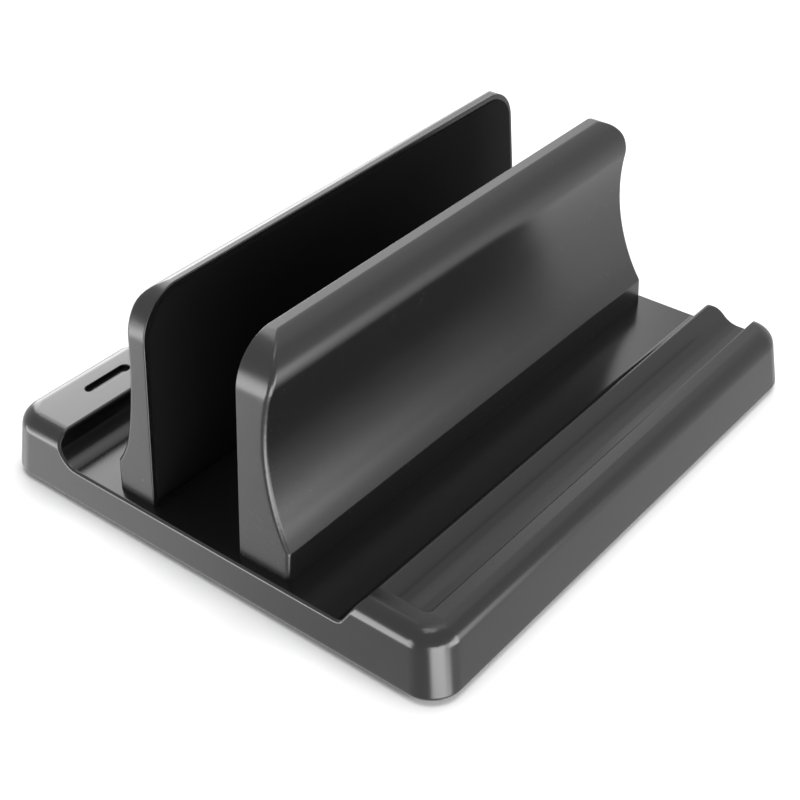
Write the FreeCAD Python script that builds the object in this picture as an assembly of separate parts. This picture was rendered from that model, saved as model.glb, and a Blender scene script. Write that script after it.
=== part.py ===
import FreeCAD, Part
import math
import os

# Vertical laptop stand.
# X runs across the stand, Y along the uprights, Z up.
# The origin is on the desk, under the middle of the base.
# All sizes are in millimetres.

# Base moulding, outside
BASE_WIDTH = 160.3
BASE_LENGTH = 178.3
BASE_CORNER_R = 9.5
BASE_DRAFT_DEG = 7.0
BASE_BLOCK_HEIGHT = 19.6
FLOOR_HEIGHT = 10.8
TOP_EDGE_R = 5.6
BOTTOM_EDGE_R = 1.5
RIM_FILLET_R = 1.0
PAD_PROUD = 1.0

# Channel that the uprights stand in, placed from the base's two long sides
CHANNEL_LEFT_INSET = 23.35
CHANNEL_LEFT_COVE_R = 7.0
CHANNEL_RIGHT_INSET = 34.15
CHANNEL_RIGHT_COVE_R = 3.0
CHANNEL_RIGHT_SLOPE_DEG = 58.0

# Short ledge on the left with its shallow slot, placed from the base's near end and left side
LEDGE_LENGTH = 50.65
LEDGE_TURN_R = 0.25
SLOT_INSET = 13.45
SLOT_WIDTH = 3.5
SLOT_NEAR_INSET = 22.15
SLOT_LENGTH = 16.5
SLOT_DEPTH = 1.3
SLOT_EDGE_R = 0.3

# Phone groove in the right block, placed from the base's right side and near end
GROOVE_LEFT_INSET = 25.95
GROOVE_FLANK_DEG = 52.0
GROOVE_BOTTOM_INSET = 17.55
GROOVE_CREASE_INSET = 15.25
GROOVE_RIGHT_INSET = 11.05
GROOVE_DEPTH = 6.6
GROOVE_NEAR_INSET = 10.75
GROOVE_CORNER_R = 1.5
GROOVE_EDGE_R = 0.5

# Base moulding, inside
WALL = 3.4
FLOOR_THICKNESS = 2.6
GROOVE_SKIN = 2.6
LEDGE_SKIN = 2.4
POCKET_INSET = 6.15
BLOCK_POCKET_WIDTH = 24.0
LEDGE_POCKET_WIDTH = 14.0
RIB_THICKNESS = 1.6
CROSS_RIB_Y = 22.0
LONG_RIB_XS = (-46.0, -4.2, 38.0)

# Uprights
UPRIGHT_END_INSET = 4.35
UPRIGHT_TOP = 74.4
UPRIGHT_END_DRAFT_DEG = 4.8
UPRIGHT_NEAR_CORNER_R = 14.0
UPRIGHT_OUTER_FILLET_R = 1.5
UPRIGHT_INNER_FILLET_R = 0.4
FOOT_EDGE_R = 1.0
TRAVEL = 9.0
LEFT_INNER_X = -21.2
LEFT_FOOT_THICKNESS = 13.6
LEFT_FOOT_HEIGHT = 9.4
LEFT_FLARE_R = 26.0
LEFT_FLARE_DEG = 36.0
LEFT_WAIST_THICKNESS = 6.7
LEFT_WAIST_HEIGHT = 44.0
LEFT_NOSE_THICKNESS = 6.9
LEFT_NOSE_R = 5.9
LEFT_FAR_CORNER_R = 11.0
RIGHT_INNER_X = 11.0
RIGHT_FOOT_THICKNESS = 17.5
RIGHT_FOOT_HEIGHT = 8.5
RIGHT_FLARE_R = 50.0
RIGHT_FLARE_DEG = 31.0
RIGHT_WAIST_THICKNESS = 9.5
RIGHT_WAIST_HEIGHT = 38.8
RIGHT_NOSE_THICKNESS = 11.3
RIGHT_NOSE_R = 9.0
RIGHT_FAR_CORNER_R = 7.0
TOP_SKIM = 0.06

# Cores moulded into the inner side of each upright, hidden by the liner
CORE_WALL = 2.6
CORE_COUNT = 5
CORE_RIB = 3.0
CORE_END_MARGIN = 15.7
CORE_ROWS = ((25.0, 41.0), (44.0, 60.0))
FOOT_CORE_HEIGHT = 7.0
FOOT_CORE_END_MARGIN = 6.2
FOOT_CORE_CLAMP_MARGIN = 8.0

# Silicone liners on the inner faces
LINER_THICKNESS = 1.6
LINER_PROUD = 0.4
LINER_MARGIN = 1.6
LINER_BOTTOM_GAP = 2.0

# Clamp hardware
CLAMP_Y = 45.0
TONGUE_SIZE = 8.0
TONGUE_GAP = 0.2
TONGUE_SHORTFALL = 0.2
INSERT_D = 5.6
INSERT_BORE_D = 4.1
INSERT_LENGTH = 8.0
INSERT_HOLE_CLEARANCE = 0.1
CLAMP_SCREW_D = 4.0
CLAMP_SCREW_LENGTH = 8.0
CLAMP_HEAD_D = 7.6
CLAMP_HEAD_HEIGHT = 2.2
CLAMP_KEY_AF = 2.5
WASHER_D = 13.0
WASHER_BORE_D = 4.3
WASHER_THICKNESS = 1.0

# Bottom cover, its screws and the silicone feet
COVER_THICKNESS = 2.0
COVER_CLEARANCE = 0.25
COVER_SCREW_D = 3.0
COVER_SCREW_LENGTH = 7.0
COVER_HEAD_D = 5.6
COVER_HEAD_HEIGHT = 1.5
COVER_POST_D = 7.5
COVER_POST_INSET = 10.15
COVER_POST_END_INSET = 29.15
KEY_WINDOW_WIDTH = 9.5
PAD_LENGTH = 26.0
PAD_WIDTH = 9.0
PAD_CORNER_R = 4.0
PAD_THICKNESS = 1.5
PAD_CLEARANCE = 0.2
PAD_INSET = 22.15
PAD_END_INSET = 12.15

# Places and levels worked out from the sizes above
CHANNEL_LEFT_X = CHANNEL_LEFT_INSET - BASE_WIDTH / 2
CHANNEL_RIGHT_X = BASE_WIDTH / 2 - CHANNEL_RIGHT_INSET
SLOT_X = SLOT_INSET - BASE_WIDTH / 2
SLOT_NEAR_Y = SLOT_NEAR_INSET - BASE_LENGTH / 2
SLOT_FAR_Y = SLOT_NEAR_Y + SLOT_LENGTH
LEDGE_END_Y = LEDGE_LENGTH - BASE_LENGTH / 2
GROOVE_LEFT_X = BASE_WIDTH / 2 - GROOVE_LEFT_INSET
GROOVE_BOTTOM_X = BASE_WIDTH / 2 - GROOVE_BOTTOM_INSET
GROOVE_CREASE_X = BASE_WIDTH / 2 - GROOVE_CREASE_INSET
GROOVE_RIGHT_X = BASE_WIDTH / 2 - GROOVE_RIGHT_INSET
GROOVE_NEAR_Y = GROOVE_NEAR_INSET - BASE_LENGTH / 2
UPRIGHT_LENGTH = BASE_LENGTH - 2 * UPRIGHT_END_INSET
CORE_SPAN = UPRIGHT_LENGTH - 2 * CORE_END_MARGIN
COVER_POST_X = BASE_WIDTH / 2 - COVER_POST_INSET
COVER_POST_Y = BASE_LENGTH / 2 - COVER_POST_END_INSET
PAD_X = BASE_WIDTH / 2 - PAD_INSET
PAD_Y = BASE_LENGTH / 2 - PAD_END_INSET
Z_BASE = PAD_PROUD
Z_FLOOR = Z_BASE + FLOOR_HEIGHT
Z_BLOCK = Z_BASE + BASE_BLOCK_HEIGHT
Z_UPRIGHT_TOP = Z_BASE + UPRIGHT_TOP
Z_FLOOR_UNDER = Z_FLOOR - FLOOR_THICKNESS
Z_COVER_TOP = Z_BASE + COVER_THICKNESS
Z_GROOVE = Z_BLOCK - GROOVE_DEPTH
BASE_DRAFT = math.tan(math.radians(BASE_DRAFT_DEG))
END_DRAFT = math.tan(math.radians(UPRIGHT_END_DRAFT_DEG))
TOP_ROLL_REACH = TOP_EDGE_R * math.tan(math.radians(90 - BASE_DRAFT_DEG) / 2)
LEDGE_CORNER_R = LEDGE_TURN_R + TOP_ROLL_REACH + BASE_DRAFT * BASE_BLOCK_HEIGHT
OVER = 5.0
TOL = 0.01


def vec(x, y, z):
    return FreeCAD.Vector(x, y, z)


def line(a, b):
    return Part.LineSegment(a, b).toShape()


def arc(a, middle, b):
    return Part.Arc(a, middle, b).toShape()


def cylinder(diameter, z_low, z_high, x=0.0, y=0.0):
    return Part.makeCylinder(diameter / 2, z_high - z_low, vec(x, y, z_low))


def block(x0, x1, y0, y1, z0, z1):
    return Part.makeBox(x1 - x0, y1 - y0, z1 - z0, vec(x0, y0, z0))


def rounded_rectangle(width, length, radius, z, x=0.0, y=0.0):
    """Wire of a rectangle with round corners, lying flat at height z."""
    hx = width / 2
    hy = length / 2
    k = radius * (1 - math.sqrt(0.5))

    def at(px, py):
        return vec(x + px, y + py, z)

    edges = [
        line(at(-hx + radius, -hy), at(hx - radius, -hy)),
        arc(at(hx - radius, -hy), at(hx - k, -hy + k), at(hx, -hy + radius)),
        line(at(hx, -hy + radius), at(hx, hy - radius)),
        arc(at(hx, hy - radius), at(hx - k, hy - k), at(hx - radius, hy)),
        line(at(hx - radius, hy), at(-hx + radius, hy)),
        arc(at(-hx + radius, hy), at(-hx + k, hy - k), at(-hx, hy - radius)),
        line(at(-hx, hy - radius), at(-hx, -hy + radius)),
        arc(at(-hx, -hy + radius), at(-hx + k, -hy + k), at(-hx + radius, -hy)),
    ]
    return Part.Wire(edges)


def rounded_plate(width, length, radius, z_low, z_high, x=0.0, y=0.0):
    face = Part.Face(rounded_rectangle(width, length, radius, z_low, x, y))
    return face.extrude(vec(0, 0, z_high - z_low))


def stadium(length, width, z_low, z_high, x, y):
    """Upright slot shape with round ends, long along X."""
    flat = block(x - (length - width) / 2, x + (length - width) / 2, y - width / 2, y + width / 2, z_low, z_high)
    ends = [cylinder(width, z_low, z_high, x + s * (length - width) / 2, y) for s in (-1, 1)]
    return flat.fuse(ends).removeSplitter()


def box_of(edge):
    return edge.BoundBox


# Base moulding

def base_blank():
    """Drafted slab with round corners and rolled edges, before anything is cut."""
    hx = BASE_WIDTH / 2
    hy = BASE_LENGTH / 2
    inset = BASE_DRAFT * BASE_BLOCK_HEIGHT
    slab = Part.makeWedge(-hx, 0, -hy, inset - hy, inset - hx, hx, BASE_BLOCK_HEIGHT, hy, hy - inset, hx - inset)
    slab.rotate(vec(0, 0, 0), vec(1, 0, 0), 90)
    slab.translate(vec(0, 0, Z_BASE))
    slab = slab.makeFillet(BASE_CORNER_R, [e for e in slab.Edges if box_of(e).ZLength > TOL])
    slab = slab.makeFillet(TOP_EDGE_R, [e for e in slab.Edges if box_of(e).ZMin > Z_BLOCK - TOL])
    return slab.makeFillet(BOTTOM_EDGE_R, [e for e in slab.Edges if box_of(e).ZMax < Z_BASE + TOL])


def channel_cutter():
    """Open channel from the near to the far end, with a cove up to the ledge."""
    cove = CHANNEL_LEFT_COVE_R
    heel = CHANNEL_RIGHT_COVE_R
    slope = math.radians(CHANNEL_RIGHT_SLOPE_DEG)
    top = Z_BLOCK + OVER
    half = math.sqrt(0.5)
    y = -BASE_LENGTH

    left_top = vec(CHANNEL_LEFT_X, y, top)
    cove_top = vec(CHANNEL_LEFT_X, y, Z_FLOOR + cove)
    cove_mid = vec(CHANNEL_LEFT_X + cove * (1 - half), y, Z_FLOOR + cove * (1 - half))
    cove_foot = vec(CHANNEL_LEFT_X + cove, y, Z_FLOOR)
    heel_foot = vec(CHANNEL_RIGHT_X, y, Z_FLOOR)
    heel_mid = vec(CHANNEL_RIGHT_X + heel * math.sin(slope / 2), y, Z_FLOOR + heel * (1 - math.cos(slope / 2)))
    heel_top = vec(CHANNEL_RIGHT_X + heel * math.sin(slope), y, Z_FLOOR + heel * (1 - math.cos(slope)))
    right_top = vec(heel_top.x + (top - heel_top.z) / math.tan(slope), y, top)
    edges = [
        line(left_top, cove_top),
        arc(cove_top, cove_mid, cove_foot),
        line(cove_foot, heel_foot),
        arc(heel_foot, heel_mid, heel_top),
        line(heel_top, right_top),
        line(right_top, left_top),
    ]
    return Part.Face(Part.Wire(edges)).extrude(vec(0, 2 * BASE_LENGTH, 0))


def groove_cutter():
    """Phone groove: flank, hollow, flat and leaning back rest, open at the far end."""
    slope = math.radians(GROOVE_FLANK_DEG)
    y = GROOVE_NEAR_Y
    lean = (GROOVE_RIGHT_X - GROOVE_CREASE_X) / GROOVE_DEPTH
    top = Z_BLOCK + OVER
    reach = GROOVE_BOTTOM_X - GROOVE_LEFT_X
    radius = (reach - GROOVE_DEPTH / math.tan(slope)) / math.tan(slope / 2)

    def hollow(angle):
        return vec(GROOVE_BOTTOM_X - radius * math.sin(angle), y, Z_GROOVE + radius * (1 - math.cos(angle)))

    left_top = vec(GROOVE_LEFT_X - OVER / math.tan(slope), y, top)
    right_top = vec(GROOVE_RIGHT_X + OVER * lean, y, top)
    crease = vec(GROOVE_CREASE_X, y, Z_GROOVE)
    edges = [
        line(left_top, hollow(slope)),
        arc(hollow(slope), hollow(slope / 2), hollow(0)),
        line(hollow(0), crease),
        line(crease, right_top),
        line(right_top, left_top),
    ]
    cutter = Part.Face(Part.Wire(edges)).extrude(vec(0, BASE_LENGTH, 0))
    corner = [e for e in cutter.Edges if box_of(e).YMax < y + TOL and box_of(e).XMin > GROOVE_CREASE_X - TOL
              and box_of(e).ZLength > OVER]
    return cutter.makeFillet(GROOVE_CORNER_R, corner)


def slot_cutter():
    """Shallow slot with round ends in the top of the ledge."""
    radius = SLOT_WIDTH / 2
    middle_y = (SLOT_NEAR_Y + SLOT_FAR_Y) / 2
    length = SLOT_FAR_Y - SLOT_NEAR_Y
    return rounded_plate(SLOT_WIDTH, length, radius - TOL, Z_BLOCK - SLOT_DEPTH, Z_BLOCK + OVER, SLOT_X, middle_y)


def rolled_profile(x, y):
    """Half section of the ledge's end: drafted wall and rolled top edge, seen along X.

    The wall stands LEDGE_CORNER_R beyond y at the bottom of the base.
    """
    tilt = math.radians(BASE_DRAFT_DEG)
    centre_y = y + LEDGE_TURN_R
    centre_z = Z_BLOCK - TOP_EDGE_R

    def on_roll(angle):
        return vec(x, centre_y + TOP_EDGE_R * math.cos(angle), centre_z + TOP_EDGE_R * math.sin(angle))

    wall_foot = vec(x, y + LEDGE_CORNER_R, Z_BASE)
    roll_low = on_roll(tilt)
    roll_high = on_roll(math.pi / 2)
    edges = [
        line(vec(x, y, Z_BASE), wall_foot),
        line(wall_foot, roll_low),
        arc(roll_low, on_roll((math.pi / 2 + tilt) / 2), roll_high),
        line(roll_high, vec(x, y, Z_BLOCK)),
        line(vec(x, y, Z_BLOCK), vec(x, y, Z_BASE)),
    ]
    return Part.Face(Part.Wire(edges))


def ledge_void():
    """Space behind the short ledge, shaped so that the ledge ends in a rolled corner."""
    reach = LEDGE_CORNER_R - BASE_DRAFT * FLOOR_HEIGHT
    centre_x = LEDGE_CORNER_R - BASE_WIDTH / 2
    centre_y = LEDGE_END_Y - reach
    inner_x = CHANNEL_LEFT_X + CHANNEL_LEFT_COVE_R
    space = block(-BASE_WIDTH, inner_x, centre_y, BASE_LENGTH, Z_FLOOR, Z_BLOCK + OVER)
    profile = rolled_profile(centre_x, centre_y)
    straight = profile.extrude(vec(inner_x + OVER - centre_x, 0, 0))
    corner = profile.revolve(vec(centre_x, centre_y, 0), vec(0, 0, 1), 90)
    return space.cut(straight.fuse(corner))


def channel_rim_edges(shape):
    """Closed loop of edges between the channel and the outside of the moulding."""
    def in_channel(face):
        b = face.BoundBox
        between = b.XMin > CHANNEL_LEFT_X - TOL and b.XMax < GROOVE_LEFT_X and b.ZMin > Z_FLOOR - TOL
        return between and b.YLength > BASE_LENGTH / 2

    found = []
    for edge in shape.Edges:
        sides = [in_channel(face) for face in shape.ancestorsOfType(edge, Part.Face)]
        if sides.count(True) == 1:
            found.append(edge)
    return found


def groove_rim_edges(shape):
    """Edges round the mouth of the phone groove, on its two sides and its near end."""
    found = []
    for edge in shape.Edges:
        b = box_of(edge)
        on_top = b.ZMin > Z_BLOCK - TOL and b.XMin > GROOVE_LEFT_X - TOL and b.XMax < GROOVE_RIGHT_X + TOL
        if on_top and (b.YLength > BASE_LENGTH / 2 or b.YMax < GROOVE_NEAR_Y + GROOVE_CORNER_R):
            found.append(edge)
    return [e for e in found if box_of(e).YMin > GROOVE_NEAR_Y - TOL]


def slot_rim_edges(shape):
    """Edges round the mouth of the ledge's slot."""
    found = []
    for edge in shape.Edges:
        b = box_of(edge)
        across = abs(b.Center.x - SLOT_X) < SLOT_WIDTH / 2 + TOL
        along = SLOT_NEAR_Y - TOL < b.YMin and b.YMax < SLOT_FAR_Y + TOL
        if across and along and b.ZMin > Z_BLOCK - TOL:
            found.append(edge)
    return found


def outer_shell():
    """Outside form of the base, still solid underneath."""
    shell = base_blank().cut(channel_cutter())
    shell = shell.makeFillet(RIM_FILLET_R, channel_rim_edges(shell))
    shell = shell.cut(ledge_void()).cut(groove_cutter()).cut(slot_cutter())
    shell = shell.makeFillet(GROOVE_EDGE_R, groove_rim_edges(shell))
    return shell.makeFillet(SLOT_EDGE_R, slot_rim_edges(shell))


def tongue_slot(x, direction, y):
    """Slot through the channel floor for one tongue, long enough for its travel."""
    length = TONGUE_SIZE + TRAVEL + 2 * TONGUE_GAP
    middle = x + direction * TRAVEL / 2
    width = TONGUE_SIZE + 2 * TONGUE_GAP
    return block(middle - length / 2, middle + length / 2, y - width / 2, y + width / 2, Z_BASE, Z_FLOOR + OVER)


def clamp_x(side):
    """Middle of the upright's foot, where its clamp screws sit."""
    form = upright_form(side)
    return form["inner_x"] - inward(side) * form["foot"] / 2


def inward(side):
    return 1.0 if side == "left" else -1.0


def cover_posts():
    return [(s * COVER_POST_X, t * COVER_POST_Y) for s in (-1, 1) for t in (-1, 0, 1)]


def base_shell():
    shell = outer_shell()
    inner_w = BASE_WIDTH - 2 * WALL
    inner_l = BASE_LENGTH - 2 * WALL
    corner = BASE_CORNER_R - WALL

    hollow = rounded_plate(inner_w, inner_l, corner, Z_BASE - OVER, Z_FLOOR_UNDER)
    pocket_x = BASE_WIDTH / 2 - POCKET_INSET
    under_block = block(pocket_x - BLOCK_POCKET_WIDTH, pocket_x, -inner_l / 2 + corner, inner_l / 2 - corner,
                        Z_COVER_TOP, Z_GROOVE - GROOVE_SKIN)
    under_ledge = block(-pocket_x, LEDGE_POCKET_WIDTH - pocket_x, -inner_l / 2 + corner,
                        LEDGE_END_Y - TOP_EDGE_R, Z_COVER_TOP, Z_BLOCK - SLOT_DEPTH - LEDGE_SKIN)

    ribs = [block(-inner_w / 2 - TOL, inner_w / 2 + TOL, s * CROSS_RIB_Y - RIB_THICKNESS / 2,
                  s * CROSS_RIB_Y + RIB_THICKNESS / 2, Z_COVER_TOP, Z_FLOOR_UNDER + TOL) for s in (-1, 1)]
    ribs += [block(x - RIB_THICKNESS / 2, x + RIB_THICKNESS / 2, -inner_l / 2 - TOL, inner_l / 2 + TOL,
                   Z_COVER_TOP, Z_FLOOR_UNDER + TOL) for x in LONG_RIB_XS]
    posts = [cylinder(COVER_POST_D, Z_COVER_TOP, Z_BLOCK, x, y) for x, y in cover_posts()]
    hollow = hollow.cut(ribs + posts)
    pockets = under_block.fuse(under_ledge).cut(posts)

    pilot = COVER_SCREW_D + 2 * TOL
    pilots = [cylinder(pilot, Z_BASE, Z_BASE + COVER_SCREW_LENGTH + 0.5, x, y) for x, y in cover_posts()]
    slots = [tongue_slot(clamp_x(side), inward(side), s * CLAMP_Y) for side in ("left", "right") for s in (-1, 1)]
    return shell.cut([hollow, pockets] + pilots + slots).removeSplitter()


def key_window(side, y):
    """Window in the cover that the hex key reaches the clamp screw through."""
    length = TRAVEL + KEY_WINDOW_WIDTH
    x = clamp_x(side) + inward(side) * TRAVEL / 2
    return stadium(length, KEY_WINDOW_WIDTH, Z_BASE - OVER, Z_COVER_TOP + OVER, x, y)


def pad_places():
    return {("right" if sx > 0 else "left") + "_" + ("far" if sy > 0 else "near"): (sx * PAD_X, sy * PAD_Y)
            for sx in (-1, 1) for sy in (-1, 1)}


def bottom_cover():
    gap = WALL + COVER_CLEARANCE
    plate = rounded_plate(BASE_WIDTH - 2 * gap, BASE_LENGTH - 2 * gap, BASE_CORNER_R - gap, Z_BASE, Z_COVER_TOP)
    windows = [key_window(side, s * CLAMP_Y) for side in ("left", "right") for s in (-1, 1)]
    recess_top = Z_BASE - PAD_PROUD + PAD_THICKNESS
    recesses = [rounded_plate(PAD_LENGTH + 2 * PAD_CLEARANCE, PAD_WIDTH + 2 * PAD_CLEARANCE,
                              PAD_CORNER_R + PAD_CLEARANCE, Z_BASE - OVER, recess_top, x, y)
                for x, y in pad_places().values()]
    holes = []
    for x, y in cover_posts():
        holes.append(cylinder(COVER_SCREW_D + 0.4, Z_BASE - OVER, Z_COVER_TOP + OVER, x, y))
        holes.append(Part.makeCone(COVER_HEAD_D / 2 + 0.1, COVER_SCREW_D / 2 + 0.1, COVER_HEAD_HEIGHT + 0.1,
                                   vec(x, y, Z_BASE)))
    return plate.cut(windows + recesses + holes)


def cover_screws():
    """Six countersunk screws, head flush with the underside of the cover."""
    screws = []
    for x, y in cover_posts():
        head = Part.makeCone(COVER_HEAD_D / 2, COVER_SCREW_D / 2, COVER_HEAD_HEIGHT, vec(x, y, Z_BASE))
        shank = cylinder(COVER_SCREW_D, Z_BASE + COVER_HEAD_HEIGHT, Z_BASE + COVER_SCREW_LENGTH, x, y)
        cross = [block(x - 1.4, x + 1.4, y - 0.3, y + 0.3, Z_BASE - OVER, Z_BASE + 0.8),
                 block(x - 0.3, x + 0.3, y - 1.4, y + 1.4, Z_BASE - OVER, Z_BASE + 0.8)]
        screws.append(head.fuse(shank).removeSplitter().cut(cross))
    return screws


def foot_pad(x, y):
    return rounded_plate(PAD_LENGTH, PAD_WIDTH, PAD_CORNER_R, 0.0, PAD_THICKNESS, x, y)


# Uprights

def upright_form(side):
    """Sizes of one upright, each thickness counted from its inner face."""
    if side == "left":
        sizes = (LEFT_INNER_X, LEFT_FOOT_THICKNESS, LEFT_FOOT_HEIGHT, LEFT_FLARE_R, LEFT_FLARE_DEG,
                 LEFT_WAIST_THICKNESS, LEFT_WAIST_HEIGHT, LEFT_NOSE_THICKNESS, LEFT_NOSE_R, LEFT_FAR_CORNER_R)
    else:
        sizes = (RIGHT_INNER_X, RIGHT_FOOT_THICKNESS, RIGHT_FOOT_HEIGHT, RIGHT_FLARE_R, RIGHT_FLARE_DEG,
                 RIGHT_WAIST_THICKNESS, RIGHT_WAIST_HEIGHT, RIGHT_NOSE_THICKNESS, RIGHT_NOSE_R,
                 RIGHT_FAR_CORNER_R)
    keys = ("inner_x", "foot", "foot_height", "flare_r", "flare_deg", "waist", "waist_height", "nose", "nose_r",
            "far_corner_r")
    return dict(zip(keys, sizes))


def upright_section(form, out):
    """Cross section of an upright: flat inner side, flared foot, hollow outer side, rolled nose.

    The outer side lies towards out (1 for +X, -1 for -X). The flare, the lower and the upper
    part of the hollow and the nose are arcs that run into each other.
    """
    top_z = Z_UPRIGHT_TOP + TOP_SKIM
    nose_z = top_z - form["nose_r"]
    foot_z = Z_FLOOR + form["foot_height"]
    waist_z = Z_FLOOR + form["waist_height"]
    flare_end = math.radians(form["flare_deg"])
    rise = waist_z - foot_z - form["flare_r"] * math.sin(flare_end)
    spread = form["foot"] - form["waist"] - form["flare_r"] * (1 - math.cos(flare_end))
    joint = 2 * math.atan(spread / rise)
    low_r = form["flare_r"] + rise / math.sin(joint)
    gain = form["nose"] - form["waist"]
    lift = nose_z - waist_z
    high_r = (lift ** 2 + gain ** 2) / (2 * gain) - form["nose_r"]
    meet = math.asin(lift / (high_r + form["nose_r"]))
    flare_x = form["waist"] + low_r - (low_r - form["flare_r"]) * math.cos(joint)
    flare_z = waist_z - (low_r - form["flare_r"]) * math.sin(joint)

    def at(depth, z):
        return vec(form["inner_x"] + out * depth, -UPRIGHT_LENGTH, z)

    def flare(angle):
        return at(flare_x - form["flare_r"] * math.cos(angle), flare_z - form["flare_r"] * math.sin(angle))

    def low(angle):
        return at(form["waist"] + low_r * (1 - math.cos(angle)), waist_z - low_r * math.sin(angle))

    def high(angle):
        return at(form["waist"] + high_r * (1 - math.cos(angle)), waist_z + high_r * math.sin(angle))

    def nose(angle):
        return at(form["nose"] - form["nose_r"] * (1 - math.cos(angle)), nose_z + form["nose_r"] * math.sin(angle))

    edges = [
        line(at(0, Z_FLOOR), at(form["foot"], Z_FLOOR)),
        line(at(form["foot"], Z_FLOOR), flare(flare_end)),
        arc(flare(flare_end), flare((flare_end + joint) / 2), flare(joint)),
        arc(flare(joint), low(joint / 2), low(0)),
        arc(low(0), high(meet / 2), high(meet)),
        arc(high(meet), nose((math.pi / 2 - meet) / 2), nose(math.pi / 2)),
        line(nose(math.pi / 2), at(0, top_z)),
        line(at(0, top_z), at(0, Z_FLOOR)),
    ]
    return Part.Face(Part.Wire(edges))


def end_outline(x, margin, bottom, corner_r, end):
    """Foot, both ends and the middle of the corner arc of one end (1 far, -1 near), inset by margin."""
    radius = corner_r - margin
    tilt = math.radians(UPRIGHT_END_DRAFT_DEG)
    half = UPRIGHT_LENGTH / 2 - margin / math.cos(tilt)
    centre_z = Z_UPRIGHT_TOP - margin - radius
    centre_y = half - END_DRAFT * (centre_z - Z_FLOOR) - radius / math.cos(tilt)

    def corner(angle):
        return vec(x, end * (centre_y + radius * math.cos(angle)), centre_z + radius * math.sin(angle))

    foot = vec(x, end * (half - END_DRAFT * (bottom - Z_FLOOR)), bottom)
    return foot, corner(tilt), corner((math.pi / 2 + tilt) / 2), corner(math.pi / 2)


def side_outline(x, margin, bottom, near_r, far_r):
    """Side view of an upright: leaning ends and round top corners, inset by margin."""
    far_foot, far_low, far_mid, far_high = end_outline(x, margin, bottom, far_r, 1)
    near_foot, near_low, near_mid, near_high = end_outline(x, margin, bottom, near_r, -1)
    edges = [
        line(far_foot, far_low),
        arc(far_low, far_mid, far_high),
        line(far_high, near_high),
        arc(near_high, near_mid, near_low),
        line(near_low, near_foot),
        line(near_foot, far_foot),
    ]
    return Part.Face(Part.Wire(edges))


def end_rim(half, inner_x):
    """Outer edges up the near end of half an upright and round its top corner."""
    found = []
    for edge in half.Edges:
        b = box_of(edge)
        on_inner_face = abs(b.XMin - inner_x) < TOL or abs(b.XMax - inner_x) < TOL
        at_end = b.YMax < -UPRIGHT_LENGTH / 4 and b.ZMax > Z_FLOOR + TOL
        if at_end and b.ZLength > TOL and not on_inner_face:
            found.append(edge)
    return found


def inner_rim(shape, inner_x):
    """Edges round the inner face of an upright, apart from the one on the floor."""
    return [e for e in shape.Edges if box_of(e).XLength < TOL and abs(box_of(e).XMin - inner_x) < TOL
            and box_of(e).ZMax > Z_FLOOR + TOL]


def foot_rim(shape, foot_x):
    """Long edge where the flare meets the side of the foot."""
    found = []
    for edge in shape.Edges:
        b = box_of(edge)
        if b.YLength > UPRIGHT_LENGTH / 4 and abs(b.XMin - foot_x) < TOL and b.ZMin > Z_FLOOR + TOL:
            found.append(edge)
    return found


def span_x(inner_x, out, near, far):
    """Two X values, low one first, at depths near and far behind an inner face."""
    return sorted((inner_x + out * near, inner_x + out * far))


def core_pockets(form, out):
    """Pockets cored out of the inner side and the underside, with ribs between them."""
    pitch = CORE_SPAN / CORE_COUNT
    half = (pitch - CORE_RIB) / 2
    side = span_x(form["inner_x"], out, -TOL, form["waist"] - CORE_WALL)
    under = span_x(form["inner_x"], out, CORE_WALL + LINER_THICKNESS, form["foot"] - CORE_WALL)
    middles = [(index + 0.5) * pitch - CORE_SPAN / 2 for index in range(CORE_COUNT)]
    pockets = [block(side[0], side[1], y - half, y + half, Z_BASE + low, Z_BASE + high)
               for low, high in CORE_ROWS for y in middles]
    foot_spans = ((CORE_RIB / 2, CLAMP_Y - FOOT_CORE_CLAMP_MARGIN),
                  (CLAMP_Y + FOOT_CORE_CLAMP_MARGIN, UPRIGHT_LENGTH / 2 - FOOT_CORE_END_MARGIN))
    for s in (-1, 1):
        for span in foot_spans:
            low, high = sorted((s * span[0], s * span[1]))
            pockets.append(block(under[0], under[1], low, high, Z_FLOOR - OVER, Z_FLOOR + FOOT_CORE_HEIGHT))
    return pockets


def liner_solid(side, extra=0.0):
    """Silicone liner, or with extra the recess that it is glued into."""
    sign = inward(side)
    form = upright_form(side)
    back = form["inner_x"] - sign * (LINER_THICKNESS - LINER_PROUD)
    front = form["inner_x"] + sign * (LINER_PROUD + extra)
    bottom = Z_FLOOR + LINER_BOTTOM_GAP
    face = side_outline(back, LINER_MARGIN, bottom, UPRIGHT_NEAR_CORNER_R, form["far_corner_r"])
    return face.extrude(vec(front - back, 0, 0))


def upright_half(form, out, corner_r):
    """Half of an upright's outside towards -Y, with a narrow round up its end.

    It is drawn TOP_SKIM too tall and cut to height, so that the round fades out cleanly
    where it meets the top.
    """
    inner_x = form["inner_x"]
    prism = upright_section(form, out).extrude(vec(0, UPRIGHT_LENGTH, 0))
    outline = side_outline(inner_x - out * OVER, -TOP_SKIM, Z_FLOOR - OVER, corner_r, corner_r)
    half = prism.common(outline.extrude(vec(out * (3 * OVER + RIGHT_FOOT_THICKNESS), 0, 0)))
    half = half.common(block(-BASE_WIDTH, BASE_WIDTH, -BASE_LENGTH, 0, 0, Z_UPRIGHT_TOP))
    half = half.makeFillet(UPRIGHT_OUTER_FILLET_R, end_rim(half, inner_x))
    half = half.makeFillet(FOOT_EDGE_R, foot_rim(half, inner_x + out * form["foot"]))
    return half.makeFillet(UPRIGHT_INNER_FILLET_R, inner_rim(half, inner_x))


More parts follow.
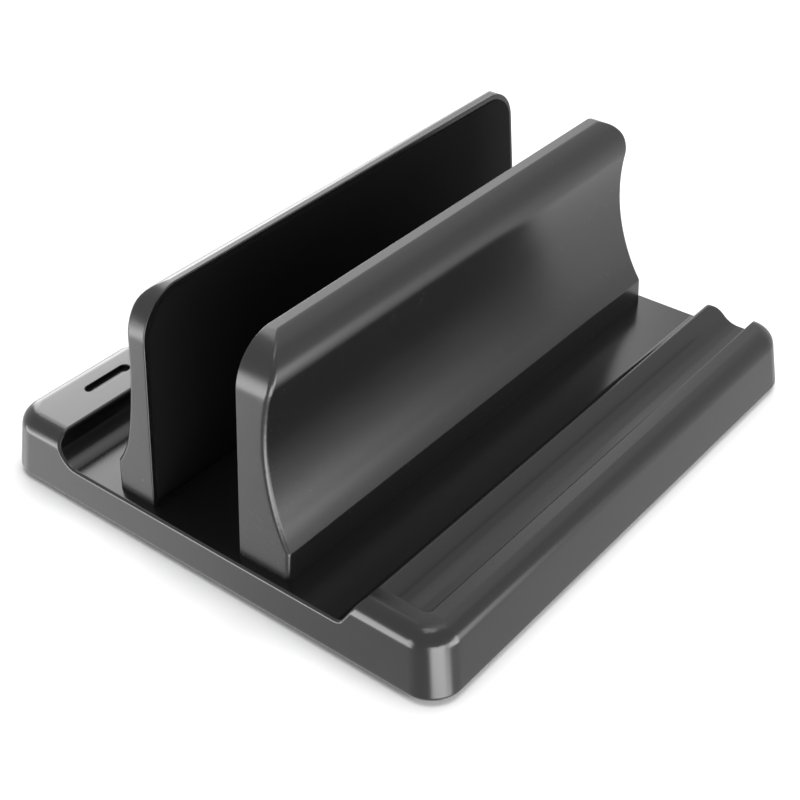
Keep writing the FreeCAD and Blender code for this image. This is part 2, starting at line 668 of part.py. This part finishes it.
def upright(side):
    form = upright_form(side)
    out = -inward(side)
    near = upright_half(form, out, UPRIGHT_NEAR_CORNER_R)
    far = upright_half(form, out, form["far_corner_r"]).mirror(vec(0, 0, 0), vec(0, 1, 0))
    body = near.fuse(far)

    x = clamp_x(side)
    half = TONGUE_SIZE / 2
    tongue_low = Z_FLOOR_UNDER + TONGUE_SHORTFALL
    tongues = [block(x - half, x + half, s * CLAMP_Y - half, s * CLAMP_Y + half, tongue_low, Z_FLOOR + TOL)
               for s in (-1, 1)]
    bores = [cylinder(INSERT_D + INSERT_HOLE_CLEARANCE, tongue_low - OVER, tongue_low + INSERT_LENGTH + 0.6,
                      x, s * CLAMP_Y) for s in (-1, 1)]
    cuts = [liner_solid(side, OVER)] + core_pockets(form, out) + bores
    return body.fuse(tongues).cut(cuts).removeSplitter()


# Clamp hardware

def threaded_insert(x, y):
    low = Z_FLOOR_UNDER + TONGUE_SHORTFALL
    body = cylinder(INSERT_D, low, low + INSERT_LENGTH, x, y)
    groove_mid = low + INSERT_LENGTH / 2
    ring = cylinder(INSERT_D + 1, groove_mid - 0.6, groove_mid + 0.6, x, y)
    ring = ring.cut(cylinder(INSERT_D - 0.6, groove_mid - 1, groove_mid + 1, x, y))
    return body.cut([ring, cylinder(INSERT_BORE_D, low - 1, low + INSERT_LENGTH + 1, x, y)])


def clamp_washer(x, y):
    low = Z_FLOOR_UNDER - WASHER_THICKNESS
    return cylinder(WASHER_D, low, Z_FLOOR_UNDER, x, y).cut(cylinder(WASHER_BORE_D, low - 1, Z_FLOOR_UNDER + 1, x, y))


def clamp_screw(x, y):
    """Button head screw with a hexagon socket, pointing up."""
    seat = Z_FLOOR_UNDER - WASHER_THICKNESS
    head = cylinder(CLAMP_HEAD_D, seat - CLAMP_HEAD_HEIGHT, seat, x, y)
    low_rim = [e for e in head.Edges if box_of(e).ZMax < seat - CLAMP_HEAD_HEIGHT + TOL]
    head = head.makeFillet(CLAMP_HEAD_HEIGHT * 0.55, low_rim)
    shank = cylinder(CLAMP_SCREW_D, seat, seat + CLAMP_SCREW_LENGTH, x, y)
    tip = [e for e in shank.Edges if box_of(e).ZMin > seat + CLAMP_SCREW_LENGTH - TOL]
    shank = shank.makeChamfer(0.4, tip)
    corner = CLAMP_KEY_AF / math.sqrt(3)
    points = [vec(x + corner * math.cos(math.radians(60 * i)), y + corner * math.sin(math.radians(60 * i)),
                  seat - CLAMP_HEAD_HEIGHT - 1) for i in range(7)]
    socket = Part.Face(Part.makePolygon(points)).extrude(vec(0, 0, 1 + 1.4))
    return head.fuse(shank).removeSplitter().cut(socket)


def save(name, shape):
    shape.exportStep("parts/" + name + ".step")
    print(f"{name:28s} solids {len(shape.Solids)} valid {shape.isValid()} volume {shape.Volume:10.1f}")


def main():
    os.makedirs("parts", exist_ok=True)
    save("base_shell", base_shell())
    save("bottom_cover", bottom_cover())
    save("cover_screws", Part.makeCompound(cover_screws()))
    for place, (x, y) in pad_places().items():
        save(place + "_foot_pad", foot_pad(x, y))
    for side in ("left", "right"):
        save(side + "_upright", upright(side))
        save(side + "_liner", liner_solid(side))
        x = clamp_x(side)
        for end, y in (("near", -CLAMP_Y), ("far", CLAMP_Y)):
            save(f"{side}_{end}_insert", threaded_insert(x, y))
            save(f"{side}_{end}_clamp_washer", clamp_washer(x, y))
            save(f"{side}_{end}_clamp_screw", clamp_screw(x, y))


main()
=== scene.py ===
"""Looks of a vertical laptop stand: its finishes, the studio round it and the camera.

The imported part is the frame. Everything is in metres, with X across the stand,
Y along the uprights and Z up from the desk.
"""

import logging
import math
from dataclasses import dataclass
from enum import Enum
from typing import Any, Dict, List, Optional, Sequence, Tuple, Union

import bpy
from mathutils import Matrix, Vector

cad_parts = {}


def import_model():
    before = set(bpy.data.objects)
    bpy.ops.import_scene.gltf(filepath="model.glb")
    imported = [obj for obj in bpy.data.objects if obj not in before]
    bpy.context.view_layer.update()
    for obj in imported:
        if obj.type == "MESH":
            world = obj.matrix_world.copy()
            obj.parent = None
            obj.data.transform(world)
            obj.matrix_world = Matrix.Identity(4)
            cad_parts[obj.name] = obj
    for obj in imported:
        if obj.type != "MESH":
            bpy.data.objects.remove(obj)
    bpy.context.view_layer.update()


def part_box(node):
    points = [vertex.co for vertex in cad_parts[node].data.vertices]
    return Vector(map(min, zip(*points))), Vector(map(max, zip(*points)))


LOG = logging.getLogger("stand")
DEGREES = 180.0 / math.pi
HALF_TURN = 180.0
NOISE_MEAN = 0.5
NOISE_ROUGHNESS = 0.55

Colour = Tuple[float, float, float]
Point = Tuple[float, float, float]


class Side(Enum):
    """The two uprights, as seen from the near end."""

    LEFT = "left"
    RIGHT = "right"


class End(Enum):
    """The two ends of the stand."""

    NEAR = "near"
    FAR = "far"


# Shader graphs


class Signal:
    """A number carried by a shader socket, with Python's arithmetic."""

    def __init__(self, graph: "Graph", socket: bpy.types.NodeSocket) -> None:
        """Wraps a socket.

        Args:
            graph: The graph that the socket belongs to.
            socket: An output socket that carries one number.
        """
        self.graph = graph
        self.socket = socket

    def __add__(self, other: "Number") -> "Signal":
        """Sum."""
        return self.graph.math("ADD", self, other)

    def __radd__(self, other: "Number") -> "Signal":
        """Sum, with the signal on the right."""
        return self.graph.math("ADD", other, self)

    def __sub__(self, other: "Number") -> "Signal":
        """Difference."""
        return self.graph.math("SUBTRACT", self, other)

    def __rsub__(self, other: "Number") -> "Signal":
        """Difference, with the signal on the right."""
        return self.graph.math("SUBTRACT", other, self)

    def __mul__(self, other: "Number") -> "Signal":
        """Product."""
        return self.graph.math("MULTIPLY", self, other)

    def between(self, low: float, high: float) -> "Signal":
        """Soft step from 0 at low to 1 at high."""
        return self.graph.ramp(self, low, high, 0.0, 1.0)


Number = Union[Signal, float]


class Graph:
    """A node tree that is being put together."""

    def __init__(self, tree: bpy.types.NodeTree) -> None:
        """Empties a node tree and takes it over."""
        self.tree = tree
        tree.nodes.clear()

    def node(self, kind: str, settings: Optional[Dict[str, Any]] = None,
             inputs: Optional[Dict[Any, Any]] = None) -> bpy.types.Node:
        """Adds one node.

        Args:
            kind: The node's type name.
            settings: Attributes that are set before anything is plugged in.
            inputs: Values, signals or sockets, by input name or index.

        Returns:
            The new node.
        """
        made = self.tree.nodes.new(kind)
        for key, value in (settings or {}).items():
            setattr(made, key, value)
        for key, value in (inputs or {}).items():
            if isinstance(value, Signal):
                self.tree.links.new(value.socket, made.inputs[key])
            elif isinstance(value, bpy.types.NodeSocket):
                self.tree.links.new(value, made.inputs[key])
            else:
                made.inputs[key].default_value = value
        return made

    def math(self, operation: str, *values: Number) -> Signal:
        """Adds a Math node on one, two or three numbers."""
        made = self.node("ShaderNodeMath", {"operation": operation}, dict(enumerate(values)))
        return Signal(self, made.outputs[0])

    def ramp(self, value: Number, low: float, high: float,
             at_low: float, at_high: float) -> Signal:
        """Maps a number smoothly from one span to another.

        Args:
            value: The number to map.
            low: Where the span starts.
            high: Where the span ends.
            at_low: Result at low and below.
            at_high: Result at high and above.

        Returns:
            The mapped number.
        """
        made = self.node("ShaderNodeMapRange", {"interpolation_type": "SMOOTHSTEP", "clamp": True},
                         {"Value": value, "From Min": low, "From Max": high,
                          "To Min": at_low, "To Max": at_high})
        return Signal(self, made.outputs["Result"])

    def place(self) -> bpy.types.NodeSocket:
        """Object coordinates."""
        return self.node("ShaderNodeTexCoord").outputs["Object"]

    def noise(self, vector: bpy.types.NodeSocket, grain: float, detail: float = 2.0,
              stretch: Point = (1.0, 1.0, 1.0)) -> Signal:
        """Noise whose lumps are about grain metres across.

        Args:
            vector: Coordinates in metres.
            grain: Size of the lumps, in metres.
            detail: How many finer octaves there are.
            stretch: How much the lumps are squeezed along each axis.

        Returns:
            The noise, about 0.5 on average.
        """
        mapped = self.node("ShaderNodeMapping", {"vector_type": "POINT"},
                           {"Vector": vector, "Scale": stretch})
        made = self.node("ShaderNodeTexNoise", {"noise_dimensions": "3D"},
                         {"Vector": mapped.outputs[0], "Scale": 1.0 / grain, "Detail": detail,
                          "Roughness": NOISE_ROUGHNESS})
        return Signal(self, made.outputs["Fac"])

    def blend(self, amount: Number, first: Colour, second: Colour) -> bpy.types.NodeSocket:
        """Mixes two colours by a number."""
        made = self.node("ShaderNodeMix", {"data_type": "RGBA"},
                         {"Factor": amount, 6: (*first, 1.0), 7: (*second, 1.0)})
        return made.outputs[2]

    def bump(self, height: Number, depth: float, strength: float,
             under: Optional[bpy.types.NodeSocket] = None) -> bpy.types.NodeSocket:
        """Normal of a fine relief.

        Args:
            height: Relief from 0 to 1.
            depth: What a height of 1 is, in metres.
            strength: Share of the relief that shows.
            under: Normal of a relief that this one lies on.

        Returns:
            The normal.
        """
        inputs: Dict[str, Any] = {"Height": height, "Distance": depth, "Strength": strength}
        if under is not None:
            inputs["Normal"] = under
        return self.node("ShaderNodeBump", None, inputs).outputs["Normal"]


# Finishes


@dataclass(frozen=True)
class Finish:
    """What every finish has."""

    name: str
    colour: Colour
    roughness: float

    def material(self) -> bpy.types.Material:
        """Makes the material.

        Returns:
            A material with this finish's name.
        """
        made = bpy.data.materials.new(self.name)
        made.use_nodes = True
        made.diffuse_color = (*self.colour, 1.0)
        made.roughness = self.roughness
        graph = Graph(made.node_tree)
        surface = graph.node("ShaderNodeBsdfPrincipled", None, self.sockets(graph))
        graph.node("ShaderNodeOutputMaterial", None, {"Surface": surface.outputs[0]})
        return made

    def sockets(self, graph: Graph) -> Dict[str, Any]:
        """What goes into the surface shader, by socket name."""
        return {"Base Color": (*self.colour, 1.0), "Roughness": self.roughness}


@dataclass(frozen=True)
class Moulding(Finish):
    """Dark moulded plastic: an even sheen with faint waves and a fine skin."""

    ior: float = 1.52
    sheen_change: float = 0.03
    drift_grain: float = 0.03
    smear_grain: float = 0.006
    smear_stretch: Point = (1.0, 0.25, 1.0)
    smear_share: float = 0.4
    speck_grain: float = 0.0006
    speck_share: float = 0.1
    speck_gain: float = 1.5
    speck_lift: float = 0.004
    skin_grain: float = 0.00035
    skin_depth: float = 0.000004
    wave_grain: float = 0.018
    wave_depth: float = 0.0000025
    dust: float = 0.15

    def sockets(self, graph: Graph) -> Dict[str, Any]:
        """Sheen that drifts a little, a fine skin and long shallow waves of shrinkage."""
        place = graph.place()
        drift = graph.noise(place, self.drift_grain, 3.0)
        smears = graph.noise(place, self.smear_grain, 4.0, self.smear_stretch).between(0.45, 0.75)
        specks = graph.noise(place, self.speck_grain, 1.0).between(0.70, 0.80)
        skin = graph.noise(place, self.skin_grain, 2.0)
        waves = graph.noise(place, self.wave_grain, 1.0)
        rough = self.roughness + (drift - NOISE_MEAN) * self.sheen_change
        rough = rough + smears * (self.sheen_change * self.smear_share)
        rough = rough + specks * (self.dust * self.speck_share)
        lighter = tuple(min(1.0, c * self.speck_gain + self.speck_lift) for c in self.colour)
        fine = graph.bump(skin, self.skin_depth, 1.0)
        return {"Base Color": graph.blend(specks * self.dust, self.colour, lighter),
                "Roughness": rough, "Normal": graph.bump(waves, self.wave_depth, 1.0, fine),
                "IOR": self.ior}


@dataclass(frozen=True)
class Silicone(Finish):
    """Soft black rubber with a matt, faintly uneven skin."""

    ior: float = 1.41
    grain: float = 0.0005
    depth: float = 0.00002
    shine: float = 0.5
    rough_change: float = 0.12
    lint_grain: float = 0.0012
    lint_stretch: Point = (1.0, 0.2, 1.0)
    lint_gain: float = 3.0
    lint_share: float = 0.5

    def sockets(self, graph: Graph) -> Dict[str, Any]:
        """Matt skin with fine dimples and a little lint."""
        place = graph.place()
        dimples = graph.noise(place, self.grain, 3.0)
        lint = graph.noise(place, self.lint_grain, 2.0, self.lint_stretch).between(0.66, 0.78)
        lighter = tuple(c * self.lint_gain for c in self.colour)
        return {"Base Color": graph.blend(lint * self.lint_share, self.colour, lighter),
                "Specular IOR Level": self.shine,
                "Roughness": self.roughness + (dimples - NOISE_MEAN) * self.rough_change,
                "Normal": graph.bump(dimples, self.depth, 0.6), "IOR": self.ior}


@dataclass(frozen=True)
class Metal(Finish):
    """Turned and plated metal."""

    change: float = 0.12
    grain: float = 0.0004
    mark_stretch: Point = (1.0, 1.0, 6.0)
    mark_depth: float = 0.000006
    tone_grain: float = 0.003
    tone_dark: float = 0.72

    def sockets(self, graph: Graph) -> Dict[str, Any]:
        """Metal with fine marks in thin layers across Z and a drift of tone."""
        place = graph.place()
        marks = graph.noise(place, self.grain, 2.0, self.mark_stretch)
        tone = graph.noise(place, self.tone_grain, 2.0)
        darker = tuple(c * self.tone_dark for c in self.colour)
        return {"Base Color": graph.blend(tone.between(0.35, 0.75), self.colour, darker),
                "Metallic": 1.0,
                "Roughness": self.roughness + (marks - NOISE_MEAN) * self.change,
                "Normal": graph.bump(marks, self.mark_depth, 0.5)}


# The base and the uprights are one black plastic given two colours: the uprights' is painted
# lighter, standing in for light on their outer faces, and the base's is painted darker, standing in
# for shade on its sides.
BASE_BLACK_PAINTED_SHADE = Moulding("base_gloss_black_painted_shade", (0.0035, 0.0035, 0.0036), 0.21)
UPRIGHT_BLACK_PAINTED_LIGHT = Moulding("upright_gloss_black_painted_light", (0.006, 0.006, 0.0061), 0.26)
UNDER_BLACK = Moulding("matt_black_moulding", (0.014, 0.014, 0.0145), 0.52,
                       skin_grain=0.0007, skin_depth=0.00003)
# The liner is black silicone, its colour set far darker than the feet's to paint the shade that
# falls between the uprights.
LINER_PAINTED_SHADE = Silicone("liner_silicone", (0.001, 0.001, 0.001), 0.75, shine=0.2)
FOOT = Silicone("foot_silicone", (0.022, 0.022, 0.023), 0.7, grain=0.0008, depth=0.00004)
BRASS = Metal("turned_brass", (0.72, 0.50, 0.20), 0.3)
STEEL = Metal("plated_steel", (0.56, 0.56, 0.57), 0.3)
BLACK_STEEL = Metal("blackened_steel", (0.05, 0.05, 0.052), 0.38)


# The stand


@dataclass
class Dressing:
    """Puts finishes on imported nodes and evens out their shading."""

    crease_deg: float = 28.0
    weld: float = 0.000002

    def smooth(self, piece: bpy.types.Object) -> None:
        """Joins the facets for shading, keeps the sharp edges and lets flat faces stay flat."""
        join = piece.modifiers.new("join_facets", "WELD")
        join.merge_threshold = self.weld
        split = piece.modifiers.new("keep_creases", "EDGE_SPLIT")
        split.split_angle = math.radians(self.crease_deg)
        even = piece.modifiers.new("even_normals", "WEIGHTED_NORMAL")
        even.mode = "FACE_AREA"
        even.weight = 50

    def dress(self, name: str, material: bpy.types.Material) -> None:
        """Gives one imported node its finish.

        Args:
            name: The node.
            material: Its finish.
        """
        piece = bpy.data.objects[name]
        for place in piece.material_slots:
            place.material = material
        self.smooth(piece)
        low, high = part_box(name)
        LOG.info("%s: %s, %.1f x %.1f x %.1f mm", name, material.name, *((high - low) * 1000))


@dataclass
class Base:
    """The low base with its cover, feet and cover screws."""

    dressing: Dressing

    def build(self) -> None:
        """Dresses every piece of the base."""
        # The base's black is painted darker than the uprights': painted shade.
        self.dressing.dress("base_shell", BASE_BLACK_PAINTED_SHADE.material())
        self.dressing.dress("bottom_cover", UNDER_BLACK.material())
        self.dressing.dress("cover_screws", BLACK_STEEL.material())
        rubber = FOOT.material()
        for side in Side:
            for end in End:
                self.dressing.dress(f"{side.value}_{end.value}_foot_pad", rubber)


@dataclass
class Upright:
    """One sliding upright with its liner and clamp hardware."""

    side: Side
    dressing: Dressing

    def build(self) -> None:
        """Dresses every piece of the upright."""
        name = self.side.value
        # The uprights' black is painted lighter than the base's: painted light.
        self.dressing.dress(f"{name}_upright", UPRIGHT_BLACK_PAINTED_LIGHT.material())
        # The liner's colour carries painted shade from between the uprights.
        self.dressing.dress(f"{name}_liner", LINER_PAINTED_SHADE.material())
        brass = BRASS.material()
        steel = STEEL.material()
        black = BLACK_STEEL.material()
        for end in End:
            self.dressing.dress(f"{name}_{end.value}_insert", brass)
            self.dressing.dress(f"{name}_{end.value}_clamp_washer", steel)
            self.dressing.dress(f"{name}_{end.value}_clamp_screw", black)


# Studio


@dataclass(frozen=True)
class Panel:
    """A soft lit panel far away, by the direction it lies in and its spread, in degrees.

    A strength of 1 is as bright as the white background.
    """

    azimuth: float
    elevation: float
    half_width: float
    half_height: float
    soft_width: float
    soft_height: float
    strength: float


RIGHT_WINDOW = Panel(14.0, -9.0, 20.0, 13.0, 7.0, 6.0, 9.0)
CORNER_BOX = Panel(330.0, -16.0, 22.0, 16.0, 8.0, 6.0, 9.5)
CORNER_TABLE = Panel(345.0, -33.0, 20.0, 7.0, 6.0, 3.0, 6.4)
FRONT_BOX = Panel(243.0, -7.0, 14.0, 15.0, 5.0, 5.0, 8.5)
FRONT_LEFT_BOX = Panel(219.0, -13.0, 12.0, 8.0, 4.0, 3.0, 7.5)
FRONT_TABLE = Panel(225.0, -46.0, 25.0, 7.0, 6.0, 3.0, 1.8)
LEFT_TABLE = Panel(207.0, -30.0, 24.0, 8.0, 6.0, 3.0, 2.0)
FAR_LEFT_BOX = Panel(149.0, 20.0, 12.0, 20.0, 4.0, 5.0, 6.5)
FAR_LEFT_TABLE = Panel(144.0, -6.0, 12.0, 6.0, 4.0, 3.0, 2.6)
FAR_BOX = Panel(128.0, 31.0, 10.0, 9.0, 4.0, 4.0, 3.3)
FAR_LOW_BOX = Panel(120.0, 8.0, 10.0, 14.0, 4.0, 5.0, 1.4)
FAR_HIGH_BOX = Panel(157.0, 47.0, 12.0, 8.0, 4.0, 3.0, 4.2)
BACK_STRIP = Panel(183.0, 50.0, 13.0, 8.0, 4.0, 3.0, 1.2)
FAR_OVERHEAD = Panel(92.0, 50.0, 38.0, 10.0, 6.0, 4.0, 1.3)
OVERHEAD = Panel(90.0, 67.0, 45.0, 9.0, 8.0, 4.0, 1.9)
ZENITH = Panel(0.0, 90.0, 200.0, 13.0, 5.0, 4.0, 4.0)


@dataclass(frozen=True)
class Lamp:
    """A square soft lamp that gloss doesn't reflect, with its size in metres and power in watts."""

    name: str
    place: Point
    target: Point
    size: float
    power: float

    def build(self) -> None:
        """Hangs the lamp and points it at its target."""
        light = bpy.data.lights.new(self.name, "AREA")
        light.shape = "SQUARE"
        light.size = self.size
        light.energy = self.power
        lamp = bpy.data.objects.new(self.name, light)
        lamp.location = self.place
        aim = Vector(self.target) - Vector(self.place)
        lamp.rotation_euler = aim.to_track_quat("-Z", "Y").to_euler()
        lamp.visible_glossy = False
        bpy.context.scene.collection.objects.link(lamp)


OVERHEAD_LAMP = Lamp("overhead_lamp", (-0.15, 0.25, 1.1), (0.0, 0.0, 0.0), 1.2, 16.0)
LOW_RIGHT_LAMP = Lamp("low_right_lamp", (1.1, 0.0, 0.28), (0.0, 0.0, 0.04), 0.5, 10.0)


@dataclass
class Studio:
    """Pale floor, white surroundings, soft lamps and the panels that gloss reflects."""

    ambience: float = 0.45
    floor_size: float = 6.0
    floor_colour: Colour = (0.92, 0.92, 0.92)
    lamps: Tuple[Lamp, ...] = (OVERHEAD_LAMP, LOW_RIGHT_LAMP)
    panels: Tuple[Panel, ...] = (RIGHT_WINDOW, CORNER_BOX, CORNER_TABLE, FRONT_BOX, FRONT_LEFT_BOX,
                                 FRONT_TABLE, LEFT_TABLE, FAR_LEFT_BOX, FAR_LEFT_TABLE, FAR_BOX,
                                 FAR_LOW_BOX, FAR_HIGH_BOX, BACK_STRIP, FAR_OVERHEAD, OVERHEAD,
                                 ZENITH)

    def world(self) -> None:
        """White to camera, glossy and transmission rays, plain grey to matt surfaces.

        Glossy rays also see the panels, wherever they are brighter than the white.
        """
        world = bpy.data.worlds.new("studio")
        world.use_nodes = True
        world.cycles.sampling_method = "NONE"
        bpy.context.scene.world = world
        graph = Graph(world.node_tree)
        turn = graph.node("ShaderNodeSeparateXYZ", None,
                          {0: graph.node("ShaderNodeTexCoord").outputs["Generated"]})
        x, y, z = (Signal(graph, turn.outputs[i]) for i in range(3))
        azimuth = graph.math("ARCTAN2", y, x) * DEGREES
        elevation = graph.math("ARCSINE", z) * DEGREES
        lit: Number = 1.0
        for panel in self.panels:
            lit = graph.math("MAXIMUM", lit, self.glow(graph, azimuth, elevation, panel))
        rays = graph.node("ShaderNodeLightPath")
        glossy = Signal(graph, rays.outputs["Is Glossy Ray"])
        white = graph.math("MAXIMUM", Signal(graph, rays.outputs["Is Camera Ray"]),
                           Signal(graph, rays.outputs["Is Transmission Ray"]))
        white = graph.math("MAXIMUM", white, glossy)
        level = white + (1 - white) * self.ambience + glossy * (lit - 1)
        shade = graph.node("ShaderNodeBackground", None,
                           {"Color": (1.0, 1.0, 1.0, 1.0), "Strength": level})
        graph.node("ShaderNodeOutputWorld", None, {"Surface": shade.outputs[0]})

    @staticmethod
    def glow(graph: Graph, azimuth: Signal, elevation: Signal, panel: Panel) -> Signal:
        """Light of one panel in a given direction.

        Args:
            graph: The world's graph.
            azimuth: Direction round Z, in degrees.
            elevation: Direction above the horizon, in degrees.
            panel: The panel.

        Returns:
            The panel's light, falling off softly at its edges.
        """
        turned = graph.math("WRAP", azimuth - panel.azimuth, HALF_TURN, -HALF_TURN)
        aside = graph.math("ABSOLUTE", turned)
        above = graph.math("ABSOLUTE", elevation - panel.elevation)
        wide = graph.ramp(aside, panel.half_width - panel.soft_width,
                          panel.half_width + panel.soft_width, 1.0, 0.0)
        high = graph.ramp(above, panel.half_height - panel.soft_height,
                          panel.half_height + panel.soft_height, 1.0, 0.0)
        return wide * high * panel.strength

    def floor(self) -> None:
        """Pale matt floor that carries the stand's shadow and that gloss doesn't reflect."""
        bpy.ops.object.select_all(action="DESELECT")
        bpy.ops.mesh.primitive_plane_add(size=self.floor_size, location=(0.0, 0.0, 0.0))
        floor = bpy.context.active_object
        floor.name = "floor"
        made = bpy.data.materials.new("pale_floor")
        made.use_nodes = True
        graph = Graph(made.node_tree)
        surface = graph.node("ShaderNodeBsdfDiffuse", None, {"Color": (*self.floor_colour, 1.0)})
        graph.node("ShaderNodeOutputMaterial", None, {"Surface": surface.outputs[0]})
        floor.data.materials.append(made)
        floor.visible_glossy = False

    def build(self) -> None:
        """Puts up the surroundings, the floor and the lamps."""
        self.world()
        self.floor()
        for lamp in self.lamps:
            lamp.build()


@dataclass
class Camera:
    """The photograph's viewpoint."""

    lens: float = 68.79
    sensor: float = 36.0
    nearest: float = 0.01
    place: Point = (0.2353, -0.2886, 0.2798)
    yaw: float = 0.69123
    pitch: float = 0.63019
    roll: float = -0.02188

    def build(self) -> None:
        """Adds the camera and makes it the scene's own."""
        forward = Vector((-math.sin(self.yaw) * math.cos(self.pitch),
                          math.cos(self.yaw) * math.cos(self.pitch), -math.sin(self.pitch)))
        level = Vector((math.cos(self.yaw), math.sin(self.yaw), 0.0))
        down = forward.cross(level)
        right = level * math.cos(self.roll) - down * math.sin(self.roll)
        below = level * math.sin(self.roll) + down * math.cos(self.roll)
        turned = Matrix((right, -below, -forward)).transposed().to_4x4()
        data = bpy.data.cameras.new("camera")
        data.lens = self.lens
        data.sensor_width = self.sensor
        data.clip_start = self.nearest
        camera = bpy.data.objects.new("camera", data)
        camera.matrix_world = Matrix.Translation(self.place) @ turned
        bpy.context.scene.collection.objects.link(camera)
        bpy.context.scene.camera = camera


def main() -> None:
    """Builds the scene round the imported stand."""
    logging.basicConfig(level=logging.INFO, format="%(message)s")
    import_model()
    scene = bpy.context.scene
    scene.view_settings.view_transform = "Standard"
    Camera().build()
    dressing = Dressing()
    Base(dressing).build()
    for side in Side:
        Upright(side, dressing).build()
    Studio().build()


if __name__ == "__main__":
    main()
